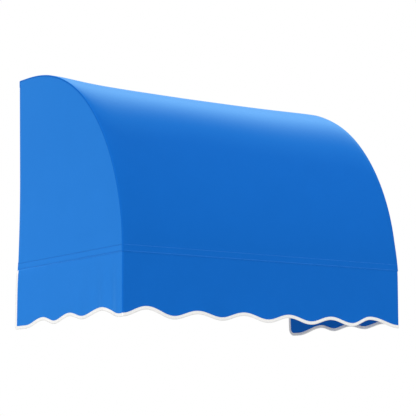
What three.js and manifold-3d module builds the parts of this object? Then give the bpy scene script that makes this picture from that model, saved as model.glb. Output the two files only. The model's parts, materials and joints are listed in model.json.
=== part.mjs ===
// A window awning: a fabric cover with a rounded front, on a frame of square steel tube that hangs on five wall
// brackets. Millimetres. X runs along the wall, the wall is the plane Y = 0, the awning stands out towards -Y,
// and Z is up. The origin is on the wall face of the middle head bracket, between its two screw holes.
import * as THREE from 'three';
import { RoundedBoxGeometry } from 'three/addons/geometries/RoundedBoxGeometry.js';
import { mergeVertices } from 'three/addons/utils/BufferGeometryUtils.js';
import Module from 'manifold-3d';

const wasm = await Module();
wasm.setup();

// The cover's outside: along the wall, out from the wall, and from the top to the lowest point of the wavy edge
const WIDTH = 1150;
const DEPTH = 555;
const HEIGHT = 800;

// Fabric, and the clearance between pieces that touch
const CLOTH = 1.2;
const GAP = 0.3;
const LAYER = CLOTH + GAP;

// Frame tube, corner connectors and bracket plate
const TUBE = 20;
const TUBE_WALL = 1.5;
const TUBE_CORNER = 2;
const SPIGOT_LENGTH = 22;
const CONNECTOR_CORNER = 1.2;
const PLATE = 5;
const STRIP = 4;

// The frame stays three layers of cloth inside the cover, and one plate away from the wall
const FRAME_INSET = 3 * LAYER;
const TUBE_BACK = -(PLATE + GAP);
const HEAD_RAIL_Z = 40;
const TOP = HEAD_RAIL_Z + TUBE / 2 + FRAME_INSET;
const BOTTOM = TOP - HEIGHT;

// The lap seam that joins the valances to the cover: its two rows of stitches, and the cloth beyond each row
const SEAM_UPPER = BOTTOM + 208.5;
const SEAM_LOWER = BOTTOM + 190.5;
const SEAM_MARGIN = 3;
const VALANCE_TOP = SEAM_UPPER + SEAM_MARGIN;

// Centre lines of the frame
const TUBE_X = WIDTH / 2 - FRAME_INSET - TUBE / 2;
const BACK_Y = TUBE_BACK - TUBE / 2;
const FRONT_Y = -(DEPTH - FRAME_INSET - TUBE / 2);
const RAIL_Z = (SEAM_UPPER + SEAM_LOWER) / 2;

// Side profile: flat by the wall, a superellipse arc, then upright down to the seam
const FLAT = 50;
const ARC_BASE = RAIL_Z + TUBE / 2 + SPIGOT_LENGTH + 2 * GAP;
const ARC_RISE = TOP - ARC_BASE;
const ARC_REACH = DEPTH - FLAT;
const ARC_POWER_OUT = 2.27;
const ARC_POWER_UP = 1.8;
const ARC_STEPS = 24;
const SAG = 9;
const SAG_STEPS = 8;

// Wavy lower edges: length and height of a wave, and how far its first low point is from the front corner. The left
// valance was cut so that its last wave runs on level to the wall.
const FRONT_WAVE = { length: 186.3, height: 18, start: 0 };
const SIDE_WAVE = {
  left: { length: 160, height: 18, start: 34, waves: 3 },
  right: { length: 160, height: 18, start: 0, waves: 4 },
};
const STEPS_PER_WAVE = 12;
const REAR_CORNER = 14;
const CORNER_STEPS = 4;

// Binding: a tape folded over the edge of a valance
const TAPE = 0.8;
const TAPE_LAP = 10;
const TAPE_OUT = GAP + TAPE;

// Hems folded behind the rear tubes, with room around the head brackets
const HEM_FRONT = TUBE_BACK + GAP;
const HEM_BACK = HEM_FRONT + CLOTH;
const HEM_DROP = 22;
const HEM_ROOM = 2;
const FLAP_ROOM = 2;

// Wall brackets
const HEAD_BRACKET_X = [-480, 0, 480];
const HEAD_BRACKET_WIDTH = 50;
const HEAD_BRACKET_LOW = -26;
const HEAD_BRACKET_LIP = 12;
const HEAD_HOLE_X = 14;
const FOOT_BRACKET_RISE = 50;
const FOOT_BRACKET_HEIGHT = 46;
const FOOT_PLATE_WIDTH = 46;
const FOOT_FLANGE_DEPTH = 24;
const FOOT_HOLE_Z = 12;
const WALL_HOLE_RADIUS = 4.2;

// Fasteners: radius and length of the shank, radii and height of the head
const LOCK_SCREW = { shank: 2.1, length: 9, head: 4.6, crown: 3, height: 2.6, sides: 12 };
const BRACKET_BOLT = { shank: 3, length: 12, head: 5.8, crown: 5.8, height: 4, sides: 6 };
const SHANK_SIDES = 10;
const HOLE_SIDES = 16;
const HOLE_ROOM = 0.4;

// How far a cutting shape reaches past what it cuts
const OVER = 2;

const X = new THREE.Vector3(1, 0, 0);
const Y = new THREE.Vector3(0, 1, 0);
const Z = new THREE.Vector3(0, 0, 1);
const SIDES = [{ word: 'left', sign: -1 }, { word: 'right', sign: 1 }];

const finish = (color, roughness, metalness) => new THREE.MeshStandardMaterial({ color, roughness, metalness });
const FINISHES = {
  canvas: () => finish('#1f72cf', 0.8, 0),
  tape: () => finish('#eff1f4', 0.75, 0),
  galvanised: () => finish('#aab0b3', 0.45, 0.9),
  cast: () => finish('#b9bcbf', 0.5, 0.9),
  zinc: () => finish('#c9cccb', 0.35, 0.95),
};

function toSolid(geometry) {
  const bare = geometry.clone();
  bare.deleteAttribute('normal');
  bare.deleteAttribute('uv');
  const merged = mergeVertices(bare, 1e-4);
  const vertProperties = new Float32Array(merged.attributes.position.array);
  const triVerts = new Uint32Array(merged.index.array);
  return new wasm.Manifold(new wasm.Mesh({ numProp: 3, vertProperties, triVerts }));
}

function toGeometry(solid) {
  const { vertProperties, triVerts } = solid.getMesh();
  const geometry = new THREE.BufferGeometry();
  geometry.setAttribute('position', new THREE.BufferAttribute(new Float32Array(vertProperties), 3));
  geometry.setIndex(new THREE.BufferAttribute(new Uint32Array(triVerts), 1));
  geometry.computeVertexNormals();
  return geometry;
}

function cut(geometry, cutters) {
  const result = cutters.reduce((solid, cutter) => solid.subtract(toSolid(cutter)), toSolid(geometry));
  return toGeometry(result);
}

function join(geometries) {
  const [first, ...rest] = geometries.map(toSolid);
  return toGeometry(rest.reduce((solid, piece) => solid.add(piece), first));
}

function box(low, high) {
  const size = new THREE.Vector3().subVectors(high, low);
  const centre = new THREE.Vector3().addVectors(low, high).multiplyScalar(0.5);
  return new THREE.BoxGeometry(size.x, size.y, size.z).translate(centre.x, centre.y, centre.z);
}

// A mesh from a geometry that is already in place
function piece(name, geometry, material) {
  const mesh = new THREE.Mesh(geometry, material);
  mesh.name = name;
  return mesh;
}

// An outline in the YZ plane, drawn as (y, z), made into a slab from one X to another
function slabAcross(points, fromX, toX, steps = 1) {
  const depth = toX - fromX;
  const geometry = new THREE.ExtrudeGeometry(new THREE.Shape(points), { depth, steps, bevelEnabled: false });
  geometry.applyMatrix4(new THREE.Matrix4().makeBasis(Y, Z, X));
  return geometry.translate(fromX, 0, 0);
}

// An outline in the XZ plane, drawn as (x, z), made into a slab from one Y out to another
function slabOutwards(points, fromY, toY) {
  const depth = fromY - toY;
  const geometry = new THREE.ExtrudeGeometry(new THREE.Shape(points), { depth, bevelEnabled: false });
  geometry.applyMatrix4(new THREE.Matrix4().makeBasis(X, Z, Y.clone().negate()));
  return geometry.translate(0, fromY, 0);
}

// Outward direction of the arc at a point given as its reach from the flat and its rise over the arc's base
function arcNormal(reach, rise) {
  const out = ARC_POWER_OUT * Math.max(reach / ARC_REACH, 0) ** (ARC_POWER_OUT - 1) / ARC_REACH;
  const up = ARC_POWER_UP * Math.max(rise / ARC_RISE, 0) ** (ARC_POWER_UP - 1) / ARC_RISE;
  return new THREE.Vector2(-out, up).normalize();
}

// The arc of the side profile as (y, z), moved inwards by an inset
function arcPoints(inset) {
  const points = [];
  for (let i = 0; i <= ARC_STEPS; i += 1) {
    const angle = (i / ARC_STEPS) * Math.PI / 2;
    const reach = ARC_REACH * Math.sin(angle) ** (2 / ARC_POWER_OUT);
    const rise = ARC_RISE * Math.max(Math.cos(angle), 0) ** (2 / ARC_POWER_UP);
    const normal = arcNormal(reach, rise);
    points.push(new THREE.Vector2(-FLAT - reach - inset * normal.x, ARC_BASE + rise - inset * normal.y));
  }
  return points;
}

// The whole side profile, from the wall down to a lower end
function profile(inset, lowEnd) {
  const wall = new THREE.Vector2(HEM_BACK, TOP - inset);
  const low = new THREE.Vector2(-DEPTH + inset, lowEnd);
  return [wall, ...arcPoints(inset), low];
}

// Cloth between two ribs sinks a little: deepest half-way along the wall and half-way round the arc
function sink(geometry) {
  const position = geometry.attributes.position;
  for (let i = 0; i < position.count; i += 1) {
    const across = position.getX(i) / (WIDTH / 2);
    const reach = Math.max(-FLAT - position.getY(i), 0);
    const rise = Math.max(position.getZ(i) - ARC_BASE, 0);
    const round = Math.atan2(reach / ARC_REACH, rise / ARC_RISE);
    const depth = SAG * (1 - across * across) * Math.sin(2 * round);
    const normal = arcNormal(reach, rise);
    position.setY(i, position.getY(i) - depth * normal.x);
    position.setZ(i, position.getZ(i) - depth * normal.y);
  }
  return geometry;
}

// The curved panel, with its rear hem turned down behind the head rail and cut out around the brackets
function frontPanel() {
  const lowEnd = SEAM_LOWER - SEAM_MARGIN;
  const outline = [...profile(0, lowEnd), ...profile(CLOTH, lowEnd).reverse()];
  const sheet = sink(slabAcross(outline, -WIDTH / 2, WIDTH / 2, SAG_STEPS));
  const hemX = WIDTH / 2 - LAYER;
  const hemLow = TOP - HEM_DROP;
  const hem = box(new THREE.Vector3(-hemX, HEM_FRONT, hemLow), new THREE.Vector3(hemX, HEM_BACK, TOP - CLOTH / 2));
  const room = HEAD_BRACKET_WIDTH / 2 + HEM_ROOM;
  const notches = HEAD_BRACKET_X.map((x) => box(
    new THREE.Vector3(x - room, HEM_FRONT - OVER, hemLow - OVER),
    new THREE.Vector3(x + room, HEM_BACK + OVER, TOP - LAYER),
  ));
  return cut(join([sheet, hem]), notches);
}

// A flat side panel, with its rear hem turned in behind the upright
function sidePanel(sign) {
  const lowEnd = SEAM_LOWER - SEAM_MARGIN;
  const outer = sign * WIDTH / 2;
  const inner = sign * (WIDTH / 2 - CLOTH);
  const outline = [...profile(LAYER, lowEnd), new THREE.Vector2(HEM_BACK, lowEnd)];
  const sheet = slabAcross(outline, Math.min(outer, inner), Math.max(outer, inner));
  const edges = [outer - sign * CLOTH / 2, sign * (TUBE_X - TUBE / 2)].sort((a, b) => a - b);
  const low = new THREE.Vector3(edges[0], HEM_FRONT, VALANCE_TOP + GAP);
  const high = new THREE.Vector3(edges[1], HEM_BACK, TOP - HEM_DROP - GAP);
  return join([sheet, box(low, high)]);
}

// Height of a wavy edge at a distance from the corner; past its last wave the edge is level
function waveHeight(distance, { length, height, start, waves = Infinity }) {
  const past = Math.min(distance - start, waves * length);
  return height / 2 * (1 - Math.cos(2 * Math.PI * past / length));
}

// Points of a wavy edge between two distances, as (distance, z), with the wave counted from a corner
function wavePoints(from, to, corner, wave, raise) {
  const steps = Math.ceil(STEPS_PER_WAVE * (to - from) / wave.length);
  const points = [];
  for (let i = 0; i <= steps; i += 1) {
    const distance = from + (to - from) * i / steps;
    points.push(new THREE.Vector2(distance, BOTTOM + TAPE_OUT + waveHeight(distance - corner, wave) + raise));
  }
  return points;
}

const FRONT_EDGE = WIDTH / 2 - LAYER;
const FRONT_PLY = { outer: -(DEPTH - LAYER), inner: -(DEPTH - LAYER - CLOTH) };
const SIDE_PLY = { outer: WIDTH / 2 - LAYER, inner: WIDTH / 2 - LAYER - CLOTH };
const SIDE_FRONT = FRONT_PLY.inner + TAPE_OUT + GAP;

// The front valance's outline: its wavy edge raised by a distance, its ends moved outwards by another
function frontOutline(raise, spread, top) {
  const edge = wavePoints(-FRONT_EDGE, FRONT_EDGE, -FRONT_EDGE, FRONT_WAVE, raise);
  edge[0].x -= spread;
  edge[edge.length - 1].x += spread;
  return [...edge, new THREE.Vector2(FRONT_EDGE + spread, top), new THREE.Vector2(-FRONT_EDGE - spread, top)];
}

function frontValance() {
  return slabOutwards(frontOutline(0, 0, VALANCE_TOP), FRONT_PLY.inner, FRONT_PLY.outer);
}

function frontBinding() {
  const slab = (raise, spread, top, thicker) => slabOutwards(
    frontOutline(raise, spread, top), FRONT_PLY.inner + thicker, FRONT_PLY.outer - thicker);
  const tape = slab(-TAPE_OUT, TAPE_OUT, SEAM_LOWER, TAPE_OUT);
  const above = slab(TAPE_LAP, TAPE_OUT + OVER, SEAM_UPPER, TAPE_OUT + OVER);
  const pocket = slab(-GAP, TAPE_OUT + OVER, SEAM_UPPER, GAP);
  return cut(tape, [above, pocket]);
}

// A side valance's outline as (y, z), from its front end to the wall, with a round lower corner at the wall
function sideOutline(wave, raise, rear, front, top) {
  const radius = REAR_CORNER + rear;
  const end = HEM_BACK + rear;
  const edge = wavePoints(SIDE_FRONT, end - radius, -DEPTH, wave, raise);
  const low = edge[edge.length - 1].y;
  for (let i = 1; i <= CORNER_STEPS; i += 1) {
    const turn = (i / CORNER_STEPS) * Math.PI / 2;
    edge.push(new THREE.Vector2(end - radius * (1 - Math.sin(turn)), low + radius * (1 - Math.cos(turn))));
  }
  edge[0].x -= front;
  return [...edge, new THREE.Vector2(end, top), new THREE.Vector2(SIDE_FRONT - front, top)];
}

function sideSlab(points, sign, spread) {
  const faces = [sign * (SIDE_PLY.outer + spread), sign * (SIDE_PLY.inner - spread)].sort((a, b) => a - b);
  return slabAcross(points, faces[0], faces[1]);
}

function sideValance(sign, wave) {
  return sideSlab(sideOutline(wave, 0, 0, 0, VALANCE_TOP), sign, 0);
}

// The tape along a side valance's wavy edge, and on up its rear edge to the seam
function sideBinding(sign, wave) {
  const top = SEAM_LOWER - SEAM_MARGIN - GAP;
  const tape = sideSlab(sideOutline(wave, -TAPE_OUT, TAPE_OUT, 0, top), sign, TAPE_OUT);
  const inside = sideSlab(sideOutline(wave, TAPE_LAP, -TAPE_LAP, OVER, SEAM_UPPER), sign, TAPE_OUT + OVER);
  const pocket = sideSlab(sideOutline(wave, -GAP, GAP, OVER, SEAM_UPPER), sign, GAP);
  return cut(tape, [inside, pocket]);
}

// A strip sewn into the seam and folded under a tube: an upright ply and a ply along the tube's underside
function flapOutline(outer, tubeOuter) {
  const under = RAIL_Z - TUBE / 2 - GAP;
  const inward = Math.sign(tubeOuter - outer);
  const far = tubeOuter + inward * TUBE;
  return [
    new THREE.Vector2(outer, VALANCE_TOP),
    new THREE.Vector2(outer, under - CLOTH),
    new THREE.Vector2(far, under - CLOTH),
    new THREE.Vector2(far, under),
    new THREE.Vector2(outer + inward * CLOTH, under),
    new THREE.Vector2(outer + inward * CLOTH, VALANCE_TOP),
  ];
}

function frontFlap() {
  const end = TUBE_X - TUBE / 2 - FLAP_ROOM;
  return slabAcross(flapOutline(-(DEPTH - 2 * LAYER), FRONT_Y - TUBE / 2), -end, end);
}

function armFlap(sign) {
  const outline = flapOutline(sign * (WIDTH / 2 - 2 * LAYER), sign * (TUBE_X + TUBE / 2));
  return slabOutwards(outline, BACK_Y - TUBE / 2 - FLAP_ROOM, FRONT_Y + TUBE / 2 + FLAP_ROOM);
}

// Square tube with rounded outer corners, along a curve
function tubeAlong(curve, steps) {
  const half = TUBE / 2;
  const turn = half - TUBE_CORNER;
  const section = new THREE.Shape();
  section.absarc(turn, turn, TUBE_CORNER, 0, Math.PI / 2);
  section.absarc(-turn, turn, TUBE_CORNER, Math.PI / 2, Math.PI);
  section.absarc(-turn, -turn, TUBE_CORNER, Math.PI, 1.5 * Math.PI);
  section.absarc(turn, -turn, TUBE_CORNER, 1.5 * Math.PI, 2 * Math.PI);
  section.closePath();
  const bore = half - TUBE_WALL;
  const corners = [[-bore, -bore], [bore, -bore], [bore, bore], [-bore, bore]];
  section.holes.push(new THREE.Path(corners.map(([x, y]) => new THREE.Vector2(x, y))));
  return new THREE.ExtrudeGeometry(section, { steps, curveSegments: 2, bevelEnabled: false, extrudePath: curve });
}

// A straight tube between two connectors' centres
function straightTube(from, to) {
  const along = new THREE.Vector3().subVectors(to, from).normalize().multiplyScalar(TUBE / 2 + GAP);
  const curve = new THREE.LineCurve3(from.clone().add(along), to.clone().sub(along));
  return tubeAlong(curve, 1);
}

// The bent tube of one end: straight where it takes the spigots, and round under the curved panel
function ribTube(x) {
  const inset = FRAME_INSET + TUBE / 2;
  const start = BACK_Y - TUBE / 2 - GAP;
  const end = RAIL_Z + TUBE / 2 + GAP;
  const arc = arcPoints(inset).map((point) => new THREE.Vector3(x, point.x, point.y));
  const flat = [start, (start - FLAT) / 2].map((y) => new THREE.Vector3(x, y, HEAD_RAIL_Z));
  const drop = [(ARC_BASE + end) / 2, end].map((z) => new THREE.Vector3(x, FRONT_Y, z));
  const curve = new THREE.CatmullRomCurve3([...flat, ...arc, ...drop], false, 'centripetal');
  return tubeAlong(curve, ARC_STEPS);
}

// A corner block with a spigot towards each tube
function connector(centre, directions) {
  const spigot = TUBE - 2 * TUBE_WALL - 2 * GAP;
  const block = new RoundedBoxGeometry(TUBE, TUBE, TUBE, 1, CONNECTOR_CORNER);
  const spigots = directions.map((direction) => {
    const length = TUBE / 2 + SPIGOT_LENGTH;
    const across = (component) => (component === 0 ? spigot : length);
    const shift = direction.clone().multiplyScalar(length / 2);
    return new THREE.BoxGeometry(across(direction.x), across(direction.y), across(direction.z))
      .translate(shift.x, shift.y, shift.z);
  });
  return join([block, ...spigots]).translate(centre.x, centre.y, centre.z);
}

// A hook for the head rail: a plate on the wall, a shelf under the rail and a lip in front of it
const SHELF_TOP = HEAD_RAIL_Z - TUBE / 2 - GAP;
const SHELF_LOW = SHELF_TOP - STRIP;

function headBracket(x) {
  const front = BACK_Y - TUBE / 2 - GAP;
  const outline = [
    [0, HEAD_BRACKET_LOW], [0, HEAD_RAIL_Z], [-PLATE, HEAD_RAIL_Z], [-PLATE, SHELF_TOP], [front, SHELF_TOP],
    [front, SHELF_TOP + HEAD_BRACKET_LIP], [front - STRIP, SHELF_TOP + HEAD_BRACKET_LIP],
    [front - STRIP, SHELF_LOW], [-PLATE, SHELF_LOW], [-PLATE, HEAD_BRACKET_LOW],
  ].map(([y, z]) => new THREE.Vector2(y, z));
  return slabAcross(outline, x - HEAD_BRACKET_WIDTH / 2, x + HEAD_BRACKET_WIDTH / 2);
}

// An angle for the foot of an upright: a plate on the wall and a flange beside the tube
const FLANGE_OUTER = TUBE_X - TUBE / 2 - GAP;
const FLANGE_INNER = FLANGE_OUTER - STRIP;
const FOOT_BRACKET_Z = RAIL_Z + TUBE / 2 + FOOT_BRACKET_RISE;
const FOOT_HOLE_X = FLANGE_INNER - FOOT_PLATE_WIDTH / 2;

function footBracket(sign) {
  const plateEnd = FLANGE_INNER - FOOT_PLATE_WIDTH;
  const outline = [
    [plateEnd, 0], [FLANGE_OUTER, 0], [FLANGE_OUTER, -PLATE - FOOT_FLANGE_DEPTH],
    [FLANGE_INNER, -PLATE - FOOT_FLANGE_DEPTH], [FLANGE_INNER, -PLATE], [plateEnd, -PLATE],
  ].map(([x, y]) => new THREE.Vector2(sign * x, y));
  const depth = FOOT_BRACKET_HEIGHT;
  const geometry = new THREE.ExtrudeGeometry(new THREE.Shape(outline), { depth, bevelEnabled: false });
  return geometry.translate(0, 0, FOOT_BRACKET_Z - depth / 2);
}

// Corners of the frame: each connector's centre and, for each tube that it takes, the way the tube leaves and
// the face of the tube that carries the lock screw
function corners() {
  const list = [];
  for (const { word, sign } of SIDES) {
    const inwards = X.clone().multiplyScalar(-sign);
    const outwards = Y.clone().negate();
    const down = Z.clone().negate();
    list.push({
      name: `top_connector_${word}`,
      centre: new THREE.Vector3(sign * TUBE_X, BACK_Y, HEAD_RAIL_Z),
      tubes: [
        { name: 'head_rail', way: inwards, face: down },
        { name: `rib_${word}`, way: outwards, face: inwards },
        { name: `upright_${word}`, way: down, face: inwards },
      ],
    }, {
      name: `front_connector_${word}`,
      centre: new THREE.Vector3(sign * TUBE_X, FRONT_Y, RAIL_Z),
      tubes: [
        { name: 'front_rail', way: inwards, face: Y },
        { name: `rib_${word}`, way: Z, face: inwards },
        { name: `arm_${word}`, way: Y, face: inwards },
      ],
    }, {
      name: `foot_connector_${word}`,
      centre: new THREE.Vector3(sign * TUBE_X, BACK_Y, RAIL_Z),
      tubes: [
        { name: `upright_${word}`, way: Z, face: inwards },
        { name: `arm_${word}`, way: outwards, face: inwards },
      ],
    });
  }
  return list;
}

// Screws and bolts: where the head sits, the way it faces, and the pieces that the shank goes through
function fasteners() {
  const list = [];
  for (const corner of corners()) {
    for (const tube of corner.tubes) {
      const at = corner.centre.clone();
      at.addScaledVector(tube.way, (TUBE + SPIGOT_LENGTH) / 2);
      at.addScaledVector(tube.face, TUBE / 2);
      const [place, , side] = corner.name.split('_');
      const name = `screw_${place}_${side}_${tube.name.replace(`_${side}`, '')}`;
      list.push({ name, at, face: tube.face, kind: LOCK_SCREW, through: [tube.name, corner.name] });
    }
  }
  HEAD_BRACKET_X.forEach((x, i) => {
    const word = ['left', 'middle', 'right'][i];
    const at = new THREE.Vector3(x, BACK_Y, SHELF_LOW);
    const through = [`head_bracket_${word}`, 'head_rail'];
    list.push({ name: `head_bolt_${word}`, at, face: Z.clone().negate(), kind: BRACKET_BOLT, through });
  });
  for (const { word, sign } of SIDES) {
    const at = new THREE.Vector3(sign * FLANGE_INNER, BACK_Y, FOOT_BRACKET_Z);
    const through = [`foot_bracket_${word}`, `upright_${word}`];
    list.push({ name: `foot_bolt_${word}`, at, face: X.clone().multiplyScalar(-sign), kind: BRACKET_BOLT, through });
  }
  return list;
}

function turnTo(face) {
  return new THREE.Quaternion().setFromUnitVectors(Y, face);
}

// A clearance hole from a face inwards
function hole(at, face, radius, depth, sides) {
  const geometry = new THREE.CylinderGeometry(radius, radius, depth + OVER, sides);
  geometry.translate(0, (OVER - depth) / 2, 0).applyQuaternion(turnTo(face));
  return geometry.translate(at.x, at.y, at.z);
}

const FASTENERS = fasteners();

// A geometry with the holes of every fastener that goes through the piece of this name
function drilled(name, geometry, more = []) {
  const holes = FASTENERS.filter(({ through }) => through.includes(name)).map(({ at, face, kind }) => (
    hole(at, face, kind.shank + HOLE_ROOM, kind.length + 2 * HOLE_ROOM, SHANK_SIDES)));
  return cut(geometry, [...holes, ...more]);
}

// Holes for the wall screws, through a bracket's plate
function wallHoles(places) {
  return places.map(([x, z]) => hole(new THREE.Vector3(x, 0, z), Y, WALL_HOLE_RADIUS, PLATE + OVER, HOLE_SIDES));
}

// Head and shank along +Y, the head's underside just off the face
function fastenerGeometry(kind) {
  const { shank, length, head, crown, height, sides } = kind;
  const top = new THREE.CylinderGeometry(crown, head, height, sides).translate(0, GAP + height / 2, 0);
  const stem = new THREE.CylinderGeometry(shank, shank, length + 2 * GAP, SHANK_SIDES);
  return join([top, stem.translate(0, GAP * 2 - (length + 2 * GAP) / 2, 0)]);
}

function buildCover() {
  const cover = new THREE.Group();
  cover.add(piece('front_panel', frontPanel(), FINISHES.canvas()));
  cover.add(piece('front_valance', frontValance(), FINISHES.canvas()));
  cover.add(piece('front_binding', frontBinding(), FINISHES.tape()));
  cover.add(piece('front_flap', frontFlap(), FINISHES.canvas()));
  for (const { word, sign } of SIDES) {
    cover.add(piece(`side_panel_${word}`, sidePanel(sign), FINISHES.canvas()));
    cover.add(piece(`side_valance_${word}`, sideValance(sign, SIDE_WAVE[word]), FINISHES.canvas()));
    cover.add(piece(`side_binding_${word}`, sideBinding(sign, SIDE_WAVE[word]), FINISHES.tape()));
    cover.add(piece(`arm_flap_${word}`, armFlap(sign), FINISHES.canvas()));
  }
  return cover;
}

function buildFrame() {
  const frame = new THREE.Group();
  const addTube = (name, geometry) => frame.add(piece(name, drilled(name, geometry), FINISHES.galvanised()));
  const centres = Object.fromEntries(corners().map(({ name, centre }) => [name, centre]));
  addTube('head_rail', straightTube(centres.top_connector_left, centres.top_connector_right));
  addTube('front_rail', straightTube(centres.front_connector_left, centres.front_connector_right));
  for (const { word, sign } of SIDES) {
    const foot = centres[`foot_connector_${word}`];
    addTube(`rib_${word}`, ribTube(sign * TUBE_X));
    addTube(`upright_${word}`, straightTube(foot, centres[`top_connector_${word}`]));
    addTube(`arm_${word}`, straightTube(foot, centres[`front_connector_${word}`]));
  }
  for (const { name, centre, tubes } of corners()) {
    const geometry = connector(centre, tubes.map(({ way }) => way));
    frame.add(piece(name, drilled(name, geometry), FINISHES.cast()));
  }
  return frame;
}

function buildFixings() {
  const fixings = new THREE.Group();
  HEAD_BRACKET_X.forEach((x, i) => {
    const name = `head_bracket_${['left', 'middle', 'right'][i]}`;
    const holes = wallHoles([[x - HEAD_HOLE_X, 0], [x + HEAD_HOLE_X, 0]]);
    fixings.add(piece(name, drilled(name, headBracket(x), holes), FINISHES.galvanised()));
  });
  for (const { word, sign } of SIDES) {
    const name = `foot_bracket_${word}`;
    const x = sign * FOOT_HOLE_X;
    const holes = wallHoles([[x, FOOT_BRACKET_Z - FOOT_HOLE_Z], [x, FOOT_BRACKET_Z + FOOT_HOLE_Z]]);
    fixings.add(piece(name, drilled(name, footBracket(sign), holes), FINISHES.galvanised()));
  }
  for (const { name, at, face, kind } of FASTENERS) {
    const mesh = piece(name, fastenerGeometry(kind), FINISHES.zinc());
    mesh.position.copy(at);
    mesh.quaternion.copy(turnTo(face));
    fixings.add(mesh);
  }
  return fixings;
}

const awning = new THREE.Group();
awning.add(buildCover(), buildFrame(), buildFixings());

export default awning;
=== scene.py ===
# %% [markdown]
# A window awning is a sewn fabric cover on a light tube frame that stands out from the wall over a
# window. This one has a rounded front, two flat ends and a loose valance with a wavy, bound edge all
# round. The solid pieces come in at their real size and place, in metres, with the wall at Y = 0 and the
# awning towards -Y. This lesson keeps the tubes and brackets where they are, gives them their metal, and
# sews the cover anew as thin cloth.

# %% Load the frame
import json
import math
from functools import partial

import bpy
import numpy as np
from mathutils import Matrix, Vector


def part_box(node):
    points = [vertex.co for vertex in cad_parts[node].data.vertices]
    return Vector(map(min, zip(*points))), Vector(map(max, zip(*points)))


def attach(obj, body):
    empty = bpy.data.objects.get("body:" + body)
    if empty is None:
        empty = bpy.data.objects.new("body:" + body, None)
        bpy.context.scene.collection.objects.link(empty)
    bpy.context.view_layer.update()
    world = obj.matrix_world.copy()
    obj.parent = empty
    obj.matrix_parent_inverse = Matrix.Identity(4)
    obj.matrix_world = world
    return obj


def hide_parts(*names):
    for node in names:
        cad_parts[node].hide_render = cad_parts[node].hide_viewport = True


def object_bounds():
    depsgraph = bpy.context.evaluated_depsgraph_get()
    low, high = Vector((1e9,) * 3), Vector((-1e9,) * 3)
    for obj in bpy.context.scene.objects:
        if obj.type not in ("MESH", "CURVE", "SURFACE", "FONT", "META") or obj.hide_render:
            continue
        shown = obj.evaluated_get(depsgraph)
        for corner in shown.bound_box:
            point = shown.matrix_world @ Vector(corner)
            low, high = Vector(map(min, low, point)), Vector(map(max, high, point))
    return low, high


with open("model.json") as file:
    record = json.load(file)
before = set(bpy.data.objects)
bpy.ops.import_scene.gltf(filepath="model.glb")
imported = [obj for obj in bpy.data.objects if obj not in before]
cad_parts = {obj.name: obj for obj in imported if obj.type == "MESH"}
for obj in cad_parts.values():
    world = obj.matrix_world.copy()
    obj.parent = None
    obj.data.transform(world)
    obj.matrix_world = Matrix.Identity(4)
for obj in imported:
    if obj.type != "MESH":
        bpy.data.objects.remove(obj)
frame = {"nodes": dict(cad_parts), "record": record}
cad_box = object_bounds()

MM = 0.001
SIDES = {"left": -1, "right": 1}
nodes = frame["nodes"]


def rounded(box):
    """The two corners of a box to a tenth of a millimetre, for a print."""
    return [[round(v, 4) for v in corner] for corner in box]


print("solid pieces:", len(nodes), "box:", rounded(cad_box))

# %% [markdown]
# The camera stands where the photographer stood: to the left of the awning, well below it and some five
# metres off, with a long lens. Its place and turn were found by fitting the cover's straight edges, so
# every later choice can be judged against the photograph from the same spot.

# %% Camera
CAMERA_AT = Vector((-3.2742, -4.2008, -1.0950))
CAMERA_YAW, CAMERA_PITCH, CAMERA_ROLL = (math.radians(angle) for angle in (39.694, 8.278, -1.157))
CAMERA_LENS = 135.2


def camera_turn():
    """The camera's axes as a matrix, from its yaw to the right, its pitch upwards and its roll."""
    forward = Vector((math.sin(CAMERA_YAW) * math.cos(CAMERA_PITCH),
                      math.cos(CAMERA_YAW) * math.cos(CAMERA_PITCH), math.sin(CAMERA_PITCH)))
    level = Vector((math.cos(CAMERA_YAW), -math.sin(CAMERA_YAW), 0))
    upright = level.cross(forward)
    right = math.cos(CAMERA_ROLL) * level + math.sin(CAMERA_ROLL) * upright
    up = math.cos(CAMERA_ROLL) * upright - math.sin(CAMERA_ROLL) * level
    return Matrix((right, up, -forward)).transposed()


bpy.ops.object.camera_add()
camera = bpy.context.object
camera.data.lens = CAMERA_LENS
camera.matrix_world = Matrix.Translation(CAMERA_AT) @ camera_turn().to_4x4()
bpy.context.scene.camera = camera
awning_middle = (Vector(cad_box[0]) + Vector(cad_box[1])) / 2
print("camera", round((awning_middle - CAMERA_AT).length, 2), "m from the awning")

# %% [markdown]
# Every finish below is built from nodes, so a few helpers come first. One turns an sRGB hex value, as a
# colour picker gives it, into the linear numbers that a shader works in. One adds a node, sets its
# properties and fills its sockets: a socket that is given another node's output is linked to it. Two make
# a material and link its shader. The last turns a real spacing into the scale of the Wave texture, which
# runs through 20 radians for each unit.

# %% Material helpers
def linear(hex_value):
    """Linear red, green, blue and alpha of an sRGB hex colour."""
    parts = [int(hex_value[i:i + 2], 16) / 255 for i in (1, 3, 5)]
    return (*[p / 12.92 if p <= 0.04045 else ((p + 0.055) / 1.055) ** 2.4 for p in parts], 1)


def add(tree, kind, settings=None, inputs=None):
    """A new node with its properties set and its sockets filled or linked."""
    node = tree.nodes.new(kind)
    for key, value in (settings or {}).items():
        setattr(node, key, value)
    for key, value in (inputs or {}).items():
        if isinstance(value, bpy.types.NodeSocket):
            tree.links.new(value, node.inputs[key])
        else:
            node.inputs[key].default_value = value
    return node


def new_material(name, **sockets):
    """A material with a Principled surface, and the tree and shader to build on."""
    material = bpy.data.materials.new(name)
    material.use_nodes = True
    tree = material.node_tree
    shader = tree.nodes["Principled BSDF"]
    for key, value in sockets.items():
        shader.inputs[key.replace("_", " ")].default_value = value
    return material, tree, shader


def wire(shader, **outputs):
    """Links node outputs to the shader's sockets."""
    for key, output in outputs.items():
        shader.id_data.links.new(output, shader.inputs[key.replace("_", " ")])


def wave_scale(pitch):
    """The Wave texture's scale at which its bands are one pitch apart."""
    return 2 * math.pi / (20 * pitch)


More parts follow.
